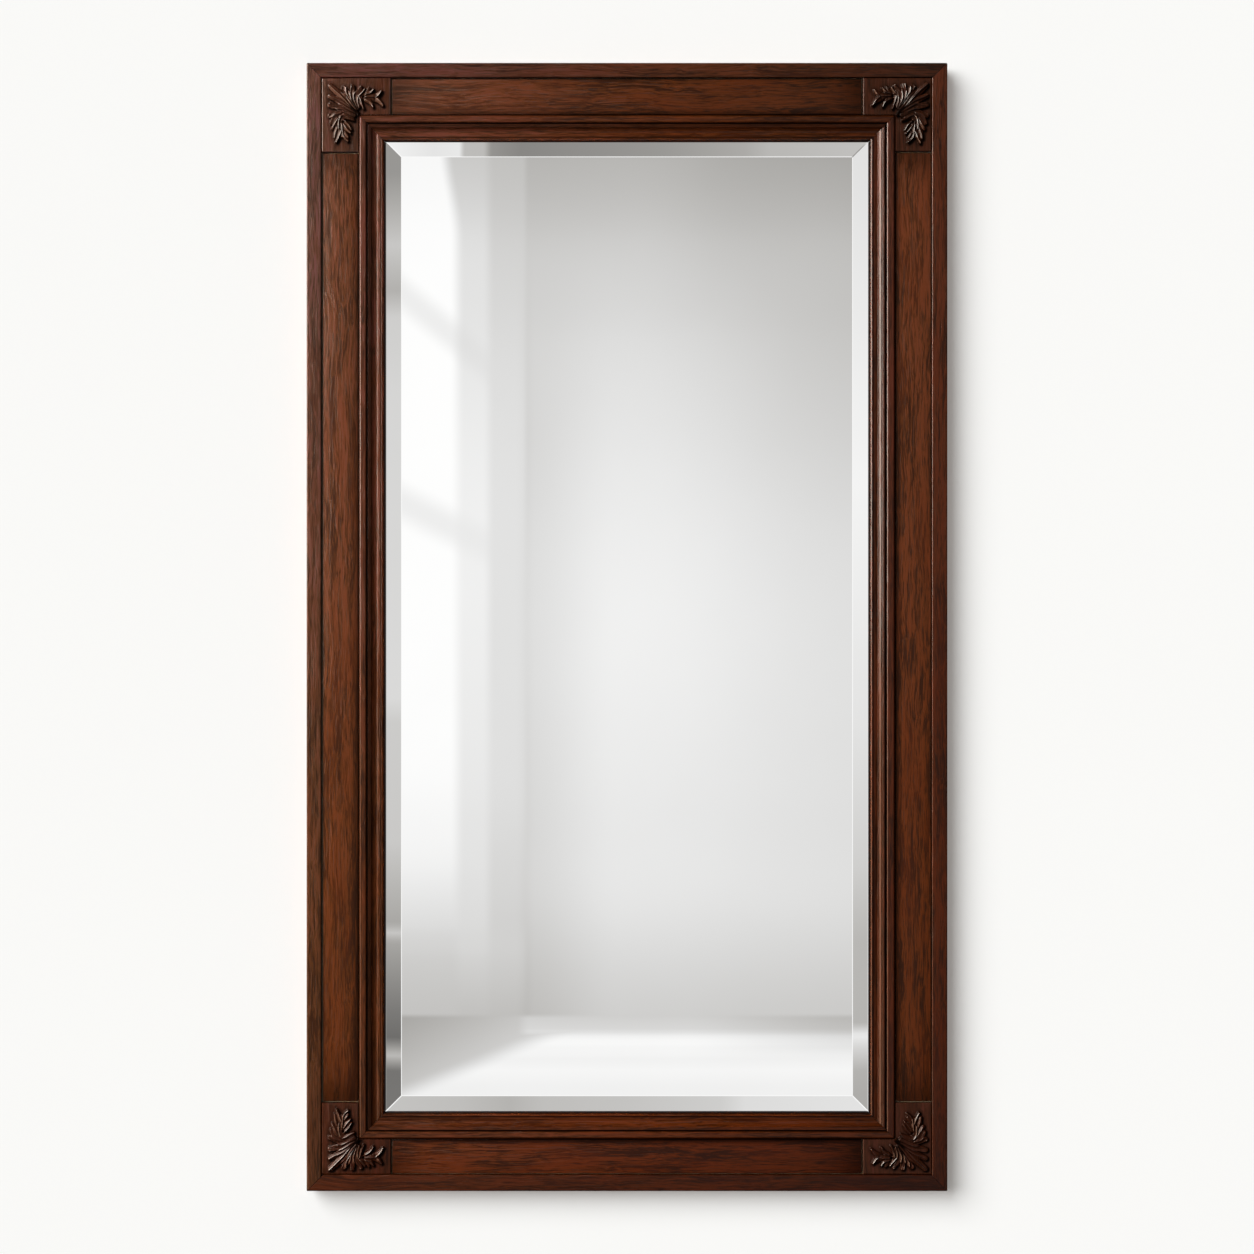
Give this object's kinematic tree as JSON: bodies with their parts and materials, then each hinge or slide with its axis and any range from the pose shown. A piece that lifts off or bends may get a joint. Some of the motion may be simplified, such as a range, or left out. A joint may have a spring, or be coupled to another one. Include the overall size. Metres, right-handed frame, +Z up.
{
  "type": "wall mirror",
  "caption": "Rectangular wall mirror: bevelled plate in a wide dark wood frame with mitred mouldings, corner blocks with carved leaves, back panel and D ring hangers.",
  "frame": {"origin": "middle of the mirror's back, on the wall plane that the bumpers touch", "axes": "+Z up along the mirror's height, +X across its width, +Y out of its back into the wall, so the glass faces -Y"},
  "size_m": [0.794, 0.0385, 1.398],
  "materials": {
    "outer_wood": "dark red-brown mahogany, satin varnish",
    "frieze_wood": "dark red-brown mahogany veneer, satin varnish",
    "inner_wood": "dark red-brown mahogany, polished varnish",
    "block_wood": "dark red-brown mahogany, satin varnish",
    "leaf_wood": "carved dark mahogany, polished on the ridges",
    "base_wood": "unfinished poplar",
    "silvered_plate": "silvered and bevelled, grey paint on the back",
    "foam": "thin white cushioning sheet",
    "setting_rubber": "matte black",
    "shim_card": "plain card",
    "panel_board": "smooth hardboard",
    "point_steel": "bright zinc",
    "hanger_steel": "zinc plated",
    "ring_steel": "zinc plated wire",
    "screw_steel": "yellow zinc",
    "bumper_rubber": "matte black"
  },
  "bodies": {
    "frame": {"outer_moulding_top": "outer_wood", "frieze_top": "frieze_wood", "inner_moulding_top": "inner_wood", "outer_moulding_bottom": "outer_wood", "frieze_bottom": "frieze_wood", "inner_moulding_bottom": "inner_wood", "outer_moulding_left": "outer_wood", "frieze_left": "frieze_wood", "inner_moulding_left": "inner_wood", "outer_moulding_right": "outer_wood", "frieze_right": "frieze_wood", "inner_moulding_right": "inner_wood", "corner_block_top_left": "block_wood", "corner_leaf_top_left": "leaf_wood", "bumper_top_left": "bumper_rubber", "corner_block_top_right": "block_wood", "corner_leaf_top_right": "leaf_wood", "bumper_top_right": "bumper_rubber", "corner_block_bottom_left": "block_wood", "corner_leaf_bottom_left": "leaf_wood", "bumper_bottom_left": "bumper_rubber", "corner_block_bottom_right": "block_wood", "corner_leaf_bottom_right": "leaf_wood", "bumper_bottom_right": "bumper_rubber", "base_stile_left": "base_wood", "base_stile_right": "base_wood", "base_rail_top": "base_wood", "base_rail_bottom": "base_wood", "mirror_plate": "silvered_plate", "foam_sheet": "foam", "setting_blocks": "setting_rubber", "edge_shims": "shim_card", "back_panel": "panel_board", "panel_points": "point_steel", "mitre_v_nails": "point_steel", "hanger_strap_left": "hanger_steel", "hanger_strap_right": "hanger_steel", "hanger_screws": "screw_steel"},
    "ring_left": {"hanger_ring_left": "ring_steel"},
    "ring_right": {"hanger_ring_right": "ring_steel"}
  },
  "joints": [
    {"name": "ring_left_swing", "type": "hinge", "parent": "frame", "child": "ring_left", "pos_m": [-0.3495, -0.0035, 0.399], "axis": [1, 0, 0], "range_deg": [0, 180]},
    {"name": "ring_right_swing", "type": "hinge", "parent": "frame", "child": "ring_right", "pos_m": [0.3495, -0.0035, 0.399], "axis": [1, 0, 0], "range_deg": [0, 180]}
  ]
}
